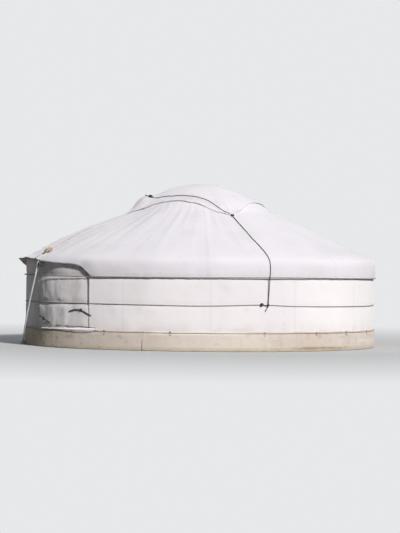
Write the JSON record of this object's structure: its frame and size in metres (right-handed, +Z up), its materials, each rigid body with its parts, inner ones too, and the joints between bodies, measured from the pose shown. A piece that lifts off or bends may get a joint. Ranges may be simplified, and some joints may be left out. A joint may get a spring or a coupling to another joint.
{
  "type": "yurt",
  "caption": "Round white canvas yurt with a lattice wall, conical roof, square crown cover, girth ropes and a weathered skirt.",
  "frame": {"origin": "centre of the bounding box on the ground", "axes": "+Z up, the door faces -Y, +X to the right of the door seen from outside"},
  "size_m": [6.0998, 6.1096, 2.7907],
  "materials": {
    "wall_canvas": "matte",
    "roof_canvas": "matte",
    "crown_canvas": "matte",
    "skirt_canvas": "matte",
    "rope_light": "matte",
    "rope_dark": "matte",
    "door_paint": "matte",
    "door_frame": "matte",
    "lattice_wood": "matte",
    "crown_wood": "matte",
    "iron": "satin"
  },
  "bodies": {
    "root": {"wall_cover_left": "wall_canvas", "wall_cover_back": "wall_canvas", "wall_cover_right": "wall_canvas", "roof_cover_left": "roof_canvas", "roof_cover_right": "roof_canvas", "crown_cover": "crown_canvas", "skirt_1": "skirt_canvas", "skirt_2": "skirt_canvas", "skirt_3": "skirt_canvas", "skirt_4": "skirt_canvas", "skirt_5": "skirt_canvas", "girth_rope_top": "rope_light", "girth_rope_middle": "rope_light", "girth_rope_low": "rope_light", "crown_rope_front": "rope_dark", "crown_rope_left": "rope_dark", "crown_rope_right": "rope_dark", "crown_rope_back": "rope_light", "door_threshold": "door_frame", "door_lintel": "door_frame", "door_jamb_left": "door_frame", "door_jamb_right": "door_frame", "door_leaf": "door_paint", "door_hinges": "iron", "door_handle": "iron", "lattice_1a": "lattice_wood", "lattice_1b": "lattice_wood", "lattice_2a": "lattice_wood", "lattice_2b": "lattice_wood", "lattice_3a": "lattice_wood", "lattice_3b": "lattice_wood", "lattice_4a": "lattice_wood", "lattice_4b": "lattice_wood", "lattice_5a": "lattice_wood", "lattice_5b": "lattice_wood", "crown_wheel_rim": "crown_wood", "crown_wheel_spokes": "crown_wood", "roof_poles_1": "crown_wood", "roof_poles_2": "crown_wood", "roof_poles_3": "crown_wood", "roof_poles_4": "crown_wood", "roof_poles_5": "crown_wood", "roof_poles_door": "crown_wood", "crown_post_left": "crown_wood", "crown_post_right": "crown_wood"}
  },
  "joints": []
}
